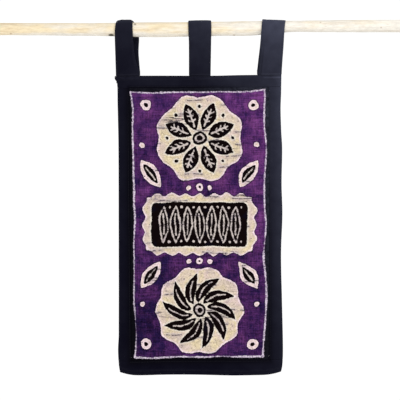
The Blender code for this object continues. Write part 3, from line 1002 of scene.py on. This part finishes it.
def stick_relief(across, angle):
    """Ripples and facets of the peeled stick, and where it is knot or dark mark."""
    round_way = angle * ROD_MEAN_RADIUS
    relief = 0.00016 * ripple(across * 0.15, round_way, 0.010, 91)
    relief = relief + 0.00012 * ripple(across, round_way, 0.050, 92)
    relief = relief - 0.00012 * (1 + np.cos(5 * angle + 3 * np.sin(across * 9)))
    knots = np.zeros_like(relief)
    for knot in KNOTS:
        distance = np.hypot(across - knot.across, turn_from(knot.angle, angle) * ROD_MEAN_RADIUS)
        rim = bell(distance - 0.8 * knot.reach, knot.reach * 0.3)
        relief = relief + knot.height * bell(distance, knot.reach)
        relief = relief - 0.6 * abs(knot.height) * rim
        knots = np.maximum(knots, bell(distance, knot.reach * 0.75))
    marks = np.zeros_like(relief)
    for mark in MARKS:
        distance = np.hypot(
            (across - mark.across) / mark.half_length,
            turn_from(mark.angle, angle) * ROD_MEAN_RADIUS / mark.half_width,
        )
        marks = np.maximum(marks, mark.strength * (1 - ease(0.65, 1.20, distance)))
    near_tab = 0
    for tab in TABS:
        middle = (tab.sections[0].left + tab.sections[0].right) / 2
        near_tab = np.maximum(near_tab, 1 - ease(0.026, 0.034, np.abs(across - middle)))
    relief = np.where(relief > 0, relief * (1 - near_tab), relief)
    return np.clip(relief, -0.0008, 0.0006), knots, marks


def sawn_end(ring, end, shares):
    """Flat rings inside the last ring of the stick, at one end of it."""
    middle = ring.mean(axis=0)
    rings = middle + (ring - middle) * np.array(shares)[:, None, None]
    rings[..., 0] = end * ROD_LENGTH / 2
    return rings


def make_stick(wood):
    """The peeled stick: lofted rings, closed by two sawn ends."""
    inner_half = ROD_LENGTH / 2 - ROD_END_CHAMFER
    count = round(2 * inner_half / STICK_RING_SPACING)
    across = np.linspace(-inner_half, inner_half, count + 1)[:, None]
    angle = (2 * math.pi * np.arange(STICK_SIDES) / STICK_SIDES)[None, :]
    relief, knots, marks = stick_relief(across, angle)
    centre, radius = rod_at(across)
    radius = radius + relief
    height = centre + radius * np.sin(angle)
    shaft = np.stack([across + 0 * angle, radius * np.cos(angle), height], axis=-1)
    points = np.concatenate([
        sawn_end(shaft[0], -1, ROD_END_RINGS[::-1]), shaft, sawn_end(shaft[-1], 1, ROD_END_RINGS)
    ])
    numbers = np.arange(len(points) * STICK_SIDES).reshape(len(points), STICK_SIDES)
    faces = grid_faces(np.concatenate([numbers, numbers[:, :1]], axis=1))
    faces.append(numbers[0].tolist())
    faces.append(numbers[-1][::-1].tolist())

    end_rows = ((len(ROD_END_RINGS), len(ROD_END_RINGS)), (0, 0))
    # pale: paler towards the right end, and paler on the underside as painted light
    pale = 0.42 * ease(-0.44, -0.25, points[..., 0]) + 0.58 * ease(-0.05, 0.30, points[..., 0])
    fields = {
        "knot": np.pad(knots, end_rows),
        "mark": np.pad(marks, end_rows),
        "sawn": np.pad(np.zeros_like(knots), end_rows, constant_values=1),
        "pale": pale + 0.42 * ease(-0.2, -1.0, np.sin(angle)),
    }
    return add_piece("rod_stick", points.reshape(-1, 3), faces, wood, fields)


def stitch_rows():
    """Lines of stitching: the points along each line, and which way the cloth faces there."""
    lines = []

    def on_cloth(across, height, facings=(-1,)):
        middle = cloth_depth(across, height) + crease_depth(across, height)
        middle = middle + border_relief(across, height)
        half = hem_half_thickness(across, height)
        for facing in facings:
            lines.append((np.stack([across, middle + facing * half, height], axis=-1), facing))

    across = np.arange(*TOP_STITCHING, STITCH_LINE_STEP)
    for inset in (EDGE_STITCH_INSET, HEM_STITCH_INSET):
        on_cloth(across, top_edge(across) - inset, (-1, 1))
    across = np.arange(*BOTTOM_STITCHING, STITCH_LINE_STEP)
    on_cloth(across, bottom_edge(across) + HEM_STITCH_INSET, (-1, 1))
    height = np.arange(*SIDE_STITCHING, -STITCH_LINE_STEP)
    on_cloth(read_curve(LEFT_SEAM, height) - SEAM_STITCH_INSET, height)
    on_cloth(read_curve(RIGHT_SEAM, height) + SEAM_STITCH_INSET, height)
    across = np.arange(*LEVEL_STITCHING, STITCH_LINE_STEP)
    on_cloth(across, read_curve(TOP_SEAM, across) + SEAM_STITCH_INSET)
    on_cloth(across, read_curve(BOTTOM_SEAM, across) - SEAM_STITCH_INSET)
    for tab in TABS:
        for share in TAB_STITCH_SHARES:
            for leg, facing in ((FRONT_LEG_STITCHING, -1), (BACK_LEG_STITCHING, 1)):
                around = np.linspace(*leg, 240)
                edge = tab_surface(tab, around, np.full_like(around, share), 0.0, 1.0)
                lines.append((edge, facing))
        share = np.linspace(*FOOT_STITCHING, 130)
        row = tab_surface(tab, np.full_like(share, FOOT_STITCH_PLACE), share, 0.0, 1.0)
        lines.append((row, -1))
    return lines


def unit(vector):
    return vector / np.linalg.norm(vector)


def stitch_rings(place, direction, facing):
    """Rings of points along one stitch, whose two ends dip into the cloth."""
    outward = np.array([0.0, float(facing), 0.0])
    outward = unit(outward - direction * np.dot(outward, direction))
    beside = np.cross(direction, outward)
    angle = (2 * math.pi * np.arange(STITCH_SIDES) / STITCH_SIDES)[:, None]
    circle = np.cos(angle) * beside + np.sin(angle) * outward
    rings = []
    for step, thick, lift in STITCH_RINGS:
        core = place + direction * step * STITCH_LENGTH / 2 + outward * STITCH_RADIUS * lift
        rings.append(core + STITCH_RADIUS * thick * circle)
    return np.concatenate(rings)


def make_stitches(thread):
    """Short raised stitches along every line of stitching."""
    stitches = []
    for points, facing in stitch_rows():
        steps = np.linalg.norm(np.diff(points, axis=0), axis=1)
        travelled = np.concatenate([[0], np.cumsum(steps)])
        middles = np.arange(STITCH_PITCH, travelled[-1] - STITCH_PITCH / 2, STITCH_PITCH)
        places, ahead = (
            np.stack([np.interp(along, travelled, points[:, axis]) for axis in range(3)], axis=1)
            for along in (middles, middles + STITCH_LENGTH / 2)
        )
        for place, further in zip(places, ahead):
            stitches.append(stitch_rings(place, unit(further - place), facing))
    faces = []
    count = len(STITCH_RINGS) * STITCH_SIDES
    for first in range(0, len(stitches) * count, count):
        numbers = first + np.arange(count).reshape(-1, STITCH_SIDES)
        faces += grid_faces(np.concatenate([numbers, numbers[:, :1]], axis=1), flip=True)
        faces.append(numbers[0][::-1].tolist())
        faces.append(numbers[-1].tolist())
    return add_piece("topstitching", np.concatenate(stitches), faces, thread)


# Materials

class Tree:
    """Short calls that build one material's nodes."""

    def __init__(self, name):
        self.material = bpy.data.materials.new(name)
        self.material.use_nodes = True
        self.nodes = self.material.node_tree.nodes
        self.shader = self.nodes["Principled BSDF"]
        self.place = self.add("TexCoord", {}).outputs["Object"]

    def feed(self, socket, value):
        if isinstance(value, bpy.types.NodeSocket):
            self.material.node_tree.links.new(value, socket)
        elif isinstance(value, Shade):
            socket.default_value = (*value, 1.0)
        else:
            socket.default_value = value

    def add(self, kind, inputs, **settings):
        """A new node with its settings, and its inputs by name or number."""
        node = self.nodes.new("ShaderNode" + kind)
        for label, value in settings.items():
            setattr(node, label, value)
        for label, value in inputs.items():
            self.feed(node.inputs[label], value)
        return node

    def set(self, **values):
        for label, value in values.items():
            self.feed(self.shader.inputs[label.replace("_", " ")], value)

    def attribute(self, name):
        return self.add("Attribute", {}, attribute_name=name).outputs["Fac"]

    def spaced(self, scale):
        """Inputs of a texture at one scale, or at one for each direction."""
        if not isinstance(scale, tuple):
            return {"Vector": self.place, "Scale": scale}
        mapping = self.add("Mapping", {"Vector": self.place, "Scale": scale})
        return {"Vector": mapping.outputs["Vector"], "Scale": 1.0}

    def noise(self, scale, detail=3.0, roughness=0.5, distortion=0.0):
        shape = {"Detail": detail, "Roughness": roughness, "Distortion": distortion}
        return self.add("TexNoise", {**self.spaced(scale), **shape}).outputs["Fac"]

    def cells(self, scale, feature="F1"):
        """Distance to scattered points, or to the edges of the cells round them."""
        return self.add("TexVoronoi", self.spaced(scale), feature=feature).outputs["Distance"]

    def wave(self, scale, distortion, **settings):
        inputs = {**self.spaced(scale), "Distortion": distortion}
        return self.add("TexWave", inputs, **settings).outputs["Fac"]

    def math(self, operation, first, second=0.0):
        return self.add("Math", {0: first, 1: second}, operation=operation).outputs[0]

    def total(self, *values):
        return reduce(partial(self.math, "ADD"), values)

    def times(self, *values):
        return reduce(partial(self.math, "MULTIPLY"), values)

    def ease(self, value, low, high, out_low=0.0, out_high=1.0):
        inputs = {
            "Value": value, "From Min": low, "From Max": high, "To Min": out_low, "To Max": out_high
        }
        return self.add("MapRange", inputs, interpolation_type="SMOOTHSTEP").outputs["Result"]

    def patchy(self, low, high, *noise, out=(0.0, 1.0)):
        """Noise eased between two of its values."""
        return self.ease(self.noise(*noise), low, high, *out)

    def blend(self, share, first, second, mode="MIX"):
        inputs = {"Factor": share, 6: first, 7: second}
        return self.add("Mix", inputs, data_type="RGBA", blend_type=mode).outputs[2]

    def layered(self, colour, *layers):
        """A colour under others, each with its own share."""
        for share, shade in layers:
            colour = self.blend(share, colour, shade)
        return colour

    def shaded(self, colour, value):
        """Colour made lighter or darker by a number that is 1 where nothing changes."""
        inputs = {0: colour, "Scale": value}
        return self.add("VectorMath", inputs, operation="SCALE").outputs["Vector"]

    def bump(self, height, strength, distance, after=None):
        inputs = {"Height": height, "Strength": strength, "Distance": distance}
        if after is not None:
            inputs["Normal"] = after
        return self.add("Bump", inputs).outputs["Normal"]


def weave_height(tree, threads):
    """Over and under of a plain weave, with so many threads to a metre."""
    bands = threads / WAVE_TURN * math.pi
    warp, weft = (tree.wave(bands, 0.5, bands_direction=way) for way in ("X", "Z"))
    return tree.math("MAXIMUM", warp, weft)


# Linear colours
NAVY_BLACK = Shade(0.0020, 0.0017, 0.0066)
# PALE_NAVY: clouds, fuzz and painted fold highlights of the black cotton
PALE_NAVY = Shade(0.0150, 0.0150, 0.0260)
# LIT_NAVY: the black cotton and the batik's margin in the painted light
LIT_NAVY = Shade(0.0645, 0.0690, 0.1050)
THREAD_BLACK = Shade(0.0070, 0.0070, 0.0120)
PURPLE = Shade(0.065, 0.018, 0.098)
INDIGO = Shade(0.016, 0.007, 0.050)
MAGENTA = Shade(0.130, 0.035, 0.150)
CREAM = Shade(0.715, 0.585, 0.480)
YELLOW_CREAM = Shade(0.780, 0.650, 0.420)
PINK_RIM = Shade(0.930, 0.740, 0.810)
PINK_CREAM = Shade(0.750, 0.575, 0.550)
WHITE_RIM = Shade(0.860, 0.790, 0.680)
LINE_GREY = Shade(0.640, 0.560, 0.520)
GLEAM_WHITE = Shade(0.880, 0.820, 0.760)
SMUDGE_GREY = Shade(0.340, 0.270, 0.320)
CRACK_BROWN = Shade(0.060, 0.042, 0.055)
WARM_BLACK = Shade(0.0034, 0.0010, 0.0013)
RUSTY_BLACK = Shade(0.0075, 0.0028, 0.0035)
BLUISH_BLACK = Shade(0.0028, 0.0020, 0.0080)
MARGIN_BLACK = Shade(0.0016, 0.0013, 0.0030)
LILAC_WHITE = Shade(0.760, 0.660, 0.780)
WORN_LILAC = Shade(0.330, 0.270, 0.370)
STRAW = Shade(0.985, 0.830, 0.560)
PALE_WOOD = Shade(0.980, 0.930, 0.830)
GRAIN_BROWN = Shade(0.620, 0.430, 0.230)
KNOT_BROWN = Shade(0.360, 0.230, 0.130)
MARK_OLIVE = Shade(0.045, 0.038, 0.017)
FLOOR_GREY = Shade(0.80, 0.80, 0.80)
FLOOR_WHITE = Shade(0.84, 0.84, 0.84)
COOL_SHEEN = Shade(0.82, 0.86, 1.0)


def black_cotton():
    """Black twill with a navy cast, clouded and fuzzy, with painted light towards the top right,
    painted highlights on its folds and edges, and darker near the seams and in the painted shade of
    a tab's side fold.
    """
    tree = Tree("navy_black_cotton")
    cloudy = tree.patchy(0.35, 0.70, 28.0, 4.0)
    fuzz = tree.patchy(0.35, 0.75, 900.0, 2.0)
    # patchy_light: painted highlights where folds, hems and edges catch the light, in patches
    patchy_light = tree.times(tree.attribute("fold"), tree.patchy(0.25, 0.65, 120.0))
    uneven = tree.patchy(0.2, 0.8, 60.0, 4.0, out=(0.567, 0.767))
    colour = tree.blend(tree.times(cloudy, 0.14), NAVY_BLACK, PALE_NAVY)
    # Painted light: the black made lighter towards the top right, where the light falls, in uneven
    # patches
    colour = tree.blend(tree.times(tree.attribute("fade"), uneven), colour, LIT_NAVY)
    colour = tree.blend(tree.times(patchy_light, 0.7), colour, PALE_NAVY, "LIGHTEN")
    colour = tree.blend(tree.times(fuzz, 0.10), colour, PALE_NAVY, "LIGHTEN")
    # deep: darker near the seams, and painted shade on the right tab's side fold
    colour = tree.blend(tree.times(tree.attribute("deep"), 0.85), colour, MARGIN_BLACK, "DARKEN")
    weave = tree.bump(weave_height(tree, TWILL_THREADS), 0.25, 0.0002)
    tree.set(
        Base_Color=colour,
        Roughness=0.80,
        Specular_IOR_Level=0.03,
        Sheen_Weight=0.018,
        Sheen_Roughness=0.40,
        Sheen_Tint=COOL_SHEEN,
        Normal=tree.bump(tree.noise(160.0, 4.0), 0.25, 0.0012, after=weave),
    )
    return tree.material


def black_thread():
    tree = Tree("black_thread")
    twist = tree.wave(420.0, 1.0, bands_direction="DIAGONAL")
    tree.set(
        Base_Color=tree.blend(tree.times(twist, 0.5), THREAD_BLACK, PALE_NAVY),
        Roughness=0.55,
        Specular_IOR_Level=0.25,
        Normal=tree.bump(twist, 0.4, 0.0002),
    )
    return tree.material


def batik_purple(tree, crackle):
    """Mottled purple dye with indigo and magenta clouds and streaks along the threads."""
    # tint carries dye tints and painted light towards the top right; it shifts the clouds and
    # lightens the streaks
    tint = tree.attribute("tint")
    clouds = tree.total(tree.noise(30.0, 5.0, 0.62), tree.times(tint, 0.10))
    spots = tree.noise(150.0, 4.0, 0.65)
    colour = tree.layered(
        INDIGO,
        (tree.ease(clouds, 0.34, 0.54), PURPLE),
        (tree.ease(clouds, 0.50, 0.68, 0.0, 0.85), MAGENTA),
        (tree.ease(spots, 0.52, 0.70, 0.0, 0.60), INDIGO),
        (tree.ease(spots, 0.46, 0.30, 0.0, 0.45), MAGENTA),
    )
    streaks = tree.total(
        tree.patchy(0.32, 0.68, (30.0, 30.0, 430.0), 3.0, 0.6, out=(-0.34, 0.34)),
        tree.patchy(0.32, 0.68, (430.0, 30.0, 30.0), 3.0, 0.6, out=(-0.26, 0.26)),
        tree.patchy(0.32, 0.68, 430.0, 2.0, 0.6, out=(-0.26, 0.26)),
        tree.times(tint, 0.26),
        1.0,
    )
    veins = tree.times(crack_lines(tree, 0.020), tree.ease(crackle, 0.05, 0.5, 0.0, 0.7))
    return tree.layered(
        tree.shaded(colour, streaks),
        (tree.patchy(0.70, 0.80, 380.0, 2.0, 0.6, out=(0.0, 0.45)), WORN_LILAC),
        (veins, INDIGO),
    )


def crack_lines(tree, width):
    """Thin wandering lines that run nearly level across the cloth."""
    field = tree.noise((9.0, 9.0, 115.0), 2.0, 0.45, 0.25)
    ragged = tree.patchy(0.30, 0.70, 290.0, 3.0, 0.7, out=(-0.513, -0.487))
    ridge = tree.math("ABSOLUTE", tree.total(field, ragged))
    return tree.ease(ridge, width, width * 0.25)


def batik_cream(tree, wax, body, crackle):
    """Undyed cotton under wax: cream, pinkish at its rim, smudged, speckled and cracked."""
    rim = tree.blend(tree.ease(body, 5.5, 9.5), PINK_RIM, WHITE_RIM)
    dirt = tree.patchy(0.52, 0.70, 60.0, 5.0, 0.68, out=(0.0, 0.62))
    smudged = tree.math("MAXIMUM", tree.times(tree.attribute("smudge"), 0.9), dirt)
    colour = tree.layered(
        CREAM,
        (tree.patchy(0.40, 0.62, 24.0, 4.0, 0.60), YELLOW_CREAM),
        (tree.patchy(0.50, 0.64, 34.0, 4.0, 0.6, out=(0.0, 0.60)), PINK_CREAM),
        (tree.times(tree.ease(wax, 4.2, 1.2), 0.90), rim),
        (tree.attribute("drawn"), LINE_GREY),
        (tree.times(smudged, tree.patchy(0.36, 0.60, 230.0, 3.0, 0.7)), SMUDGE_GREY),
    )
    grain = tree.total(
        tree.patchy(0.30, 0.70, 480.0, 3.0, 0.7, out=(-0.13, 0.13)),
        tree.patchy(0.32, 0.68, 240.0, 2.0, 0.6, out=(-0.12, 0.12)),
        tree.patchy(0.3, 0.7, (40.0, 40.0, 400.0), 2.0, 0.6, out=(-0.07, 0.07)),
        0.965,
    )
    specks = tree.patchy(0.64, 0.72, 250.0, 2.0, 0.6, out=(0.0, 0.80))
    blots = tree.ease(tree.cells(58.0), 0.115, 0.055)
    blots = tree.times(blots, tree.patchy(0.46, 0.56, 33.0, 2.0, out=(0.0, 0.90)))
    lines = tree.times(crack_lines(tree, 0.026), tree.ease(crackle, 0.12, 0.55, 0.0, 0.92))
    veins = tree.ease(tree.cells((34.0, 34.0, 58.0), "DISTANCE_TO_EDGE"), 0.022, 0.004)
    veins = tree.times(veins, tree.patchy(0.50, 0.62, 24.0, 2.0, out=(0.0, 0.50)))
    colour = tree.shaded(colour, grain)
    for share in (specks, blots, lines, veins):
        colour = tree.blend(share, colour, CRACK_BROWN)
    return cracked(tree, colour)


def cracked(tree, colour):
    """Level cracks: a thin dark line of dye that got in, under a line that caught the light."""
    patchy = tree.patchy(0.30, 0.50, 70.0, 3.0, 0.6)
    ragged = tree.patchy(0.25, 0.75, 300.0, 3.0, 0.6, out=(-0.7, 0.7))
    crack = tree.attribute("crack")
    gleam = tree.ease(tree.total(tree.attribute("gleam"), ragged), 1.5, 0.6)
    stain = tree.ease(tree.total(crack, tree.times(ragged, 4.0)), 6.0, 1.0)
    dark = tree.ease(tree.total(crack, ragged), 1.60, 0.55)
    return tree.layered(
        colour,
        (tree.times(gleam, patchy, 0.65), GLEAM_WHITE),
        (tree.times(stain, patchy, 0.45), SMUDGE_GREY),
        (tree.times(dark, patchy, 0.90), CRACK_BROWN),
    )


def resist_line(tree, colour, fine, coarse):
    """The black margin outside the picture, lightened by painted light, and the uneven pale line
    between the two.
    """
    field = tree.attribute("field")
    thinned = tree.attribute("thinned")
    patchy_light = tree.patchy(0.35, 0.65, 160.0, 3.0, 0.7, out=(0.23, 0.63))
    # Painted light on the black margin, made patchy
    margin = tree.blend(tree.times(tree.attribute("fade"), patchy_light), MARGIN_BLACK, LIT_NAVY)
    swelling = tree.patchy(0.34, 0.66, 52.0, 3.0, 0.6, out=(0.45, -0.30))
    distance = tree.total(
        tree.math("ABSOLUTE", field), fine, coarse, swelling, tree.times(thinned, 1.25)
    )
    speckled = tree.patchy(0.36, 0.58, 360.0, 2.0, 0.6, out=(0.30, 1.0))
    rubbed = tree.total(tree.noise(150.0, 3.0, 0.7), tree.times(thinned, 0.16))
    chalk = tree.blend(tree.ease(rubbed, 0.50, 0.66), LILAC_WHITE, WORN_LILAC)
    return tree.layered(
        colour,
        (tree.ease(tree.total(field, fine), -0.2, -1.6), margin),
        (tree.times(tree.ease(distance, 2.2, 1.1), speckled), chalk),
    )


def batik_cotton():
    """Dyed cotton whose motifs, rims and lines wander a little with the weave."""
    tree = Tree("batik_cotton")
    fine = tree.patchy(0.25, 0.75, 420.0, 3.0, 0.6, out=(-0.55, 0.55))
    coarse = tree.patchy(0.25, 0.75, 120.0, 2.0, 0.5, out=(-0.50, 0.50))
    wax = tree.total(tree.attribute("wax"), fine, coarse)
    body = tree.attribute("body")
    crackle = tree.attribute("crackle")
    ink = tree.layered(
        WARM_BLACK,
        (tree.patchy(0.50, 0.75, 60.0, 4.0, 0.6, out=(0.0, 0.6)), RUSTY_BLACK),
        (tree.patchy(0.55, 0.70, 34.0, 3.0, out=(0.0, 0.7)), BLUISH_BLACK),
    )
    colour = tree.layered(
        batik_purple(tree, crackle),
        (tree.times(tree.ease(wax, -3.0, -0.4), 0.72), MARGIN_BLACK),
        (tree.ease(body, -0.6, 0.6), ink),
        (tree.ease(wax, -0.35, 0.35), batik_cream(tree, wax, body, crackle)),
    )
    weave = tree.bump(weave_height(tree, BATIK_THREADS), 0.35, 0.00025)
    tree.set(
        Base_Color=resist_line(tree, colour, fine, coarse),
        Roughness=tree.ease(wax, -0.5, 0.5, 0.88, 0.74),
        Specular_IOR_Level=0.04,
        Normal=tree.bump(tree.noise(140.0, 4.0), 0.22, 0.0010, after=weave),
    )
    return tree.material


def peeled_wood():
    """Pale straw wood with long grain, fibres, stains, knots, dark marks and sawn ends."""
    tree = Tree("peeled_wood")
    # pale holds painted light that makes the stick's underside paler
    pale = tree.attribute("pale")
    patchy = tree.patchy(0.30, 0.70, (16.0, 60.0, 60.0), 3.0, 0.55, out=(-0.32, 0.32))
    tone = tree.ease(tree.total(tree.times(pale, 0.95), patchy), 0.0, 1.0)
    grain = tree.noise((11.0, 230.0, 230.0), 4.0, 0.65, 0.4)
    fibres = tree.noise((24.0, 520.0, 520.0), 2.0, 0.6)
    grain_share = tree.times(tree.ease(grain, 0.50, 0.68), tree.ease(pale, 0.0, 1.0, 0.42, 0.24))
    lightness = tree.total(
        tree.patchy(0.30, 0.70, (70.0, 240.0, 240.0), 3.0, 0.65, out=(-0.075, 0.075)),
        tree.ease(fibres, 0.30, 0.70, -0.05, 0.05),
        1.0,
    )
    colour = tree.layered(STRAW, (tone, PALE_WOOD), (grain_share, GRAIN_BROWN))
    stain = tree.patchy(0.60, 0.76, (34.0, 110.0, 110.0), 3.0, 0.6)
    rings = tree.wave(150.0, 2.0, wave_type="RINGS", rings_direction="X")
    colour = tree.layered(
        tree.shaded(colour, lightness),
        (tree.times(stain, 0.24), KNOT_BROWN),
        (tree.times(tree.ease(tree.attribute("knot"), 0.35, 0.95), 0.55), KNOT_BROWN),
        (tree.times(tree.attribute("mark"), 0.96), MARK_OLIVE),
        (tree.attribute("sawn"), tree.blend(tree.times(rings, 0.5), STRAW, GRAIN_BROWN)),
    )
    furrows = tree.bump(grain, 0.25, 0.0006)
    tree.set(
        Base_Color=colour,
        Roughness=tree.ease(grain, 0.3, 0.7, 0.55, 0.68),
        Specular_IOR_Level=0.30,
        Normal=tree.bump(fibres, 0.20, 0.0003, after=furrows),
    )
    return tree.material


def plain_floor():
    tree = Tree("pale_floor")
    tree.set(
        Base_Color=tree.blend(tree.noise(1.5), FLOOR_GREY, FLOOR_WHITE),
        Roughness=0.9,
        Specular_IOR_Level=0.1,
    )
    return tree.material


# Light, floor and camera

def add_area_light(name, location, target, size, power, colour):
    light = bpy.data.lights.new(name, "AREA")
    light.shape = "RECTANGLE"
    light.size, light.size_y = size
    light.energy = power
    light.color = colour
    lamp = add_object(name, light)
    lamp.location = location
    lamp.visible_camera = False
    direction = Vector(target) - lamp.location
    lamp.rotation_euler = direction.to_track_quat("-Z", "Y").to_euler()


def make_world():
    """A white room: pure white to the eye, a little dimmer as a light."""
    world = bpy.data.worlds.new("white_room")
    world.use_nodes = True
    nodes = world.node_tree.nodes
    background = nodes["Background"]
    background.inputs["Color"].default_value = (1.0, 1.0, 1.0, 1.0)
    path = nodes.new("ShaderNodeLightPath")
    strength = nodes.new("ShaderNodeMapRange")
    strength.inputs["To Min"].default_value = WORLD_LIGHT
    strength.inputs["To Max"].default_value = WORLD_SEEN
    links = world.node_tree.links
    links.new(path.outputs["Is Camera Ray"], strength.inputs["Value"])
    links.new(strength.outputs["Result"], background.inputs["Strength"])
    bpy.context.scene.world = world


def make_floor():
    mesh = bpy.data.meshes.new("floor")
    mesh.from_pydata([(*corner, FLOOR_LEVEL) for corner in FLOOR_CORNERS], [], [(0, 1, 2, 3)])
    mesh.materials.append(plain_floor())
    add_object("floor", mesh)


def make_camera():
    data = bpy.data.cameras.new("photo_view")
    data.sensor_width = SENSOR_WIDTH
    data.lens = CAMERA_DISTANCE * SENSOR_WIDTH / VIEW_WIDTH
    camera = add_object("photo_view", data)
    camera.location = (CAMERA_ACROSS, -CAMERA_DISTANCE, CAMERA_HEIGHT)
    camera.rotation_euler = (math.pi / 2, 0.0, 0.0)
    bpy.context.scene.camera = camera


def light_scene():
    bpy.context.scene.view_settings.view_transform = "Standard"
    make_world()
    make_floor()
    make_camera()
    add_area_light(
        "window_light", location=(1.5, -1.5, 1.1), target=(0.05, 0.0, -0.30), size=(0.7, 0.9),
        power=14.0, colour=(0.97, 0.98, 1.0),
    )
    add_area_light(
        "front_fill", location=(-0.2, -2.3, -0.95), target=(0.0, 0.0, -0.25), size=(2.2, 1.1),
        power=17.0, colour=(1.0, 0.985, 0.97),
    )


# The piece itself

def main():
    light_scene()
    cotton = black_cotton()
    batik = batik_cotton()
    thread = black_thread()
    wood = peeled_wood()

    stick = make_stick(wood)
    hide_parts("rod")

    cloth = make_cloth(cotton, batik)
    for node, piece in cloth.items():
        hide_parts(node)
    allowances = make_allowances(cotton)
    stitches = make_stitches(thread)

    for tab in TABS:
        loop = make_tab(tab, cotton)
        tail = make_tail(tab, cotton)
        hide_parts(tab.name)


main()
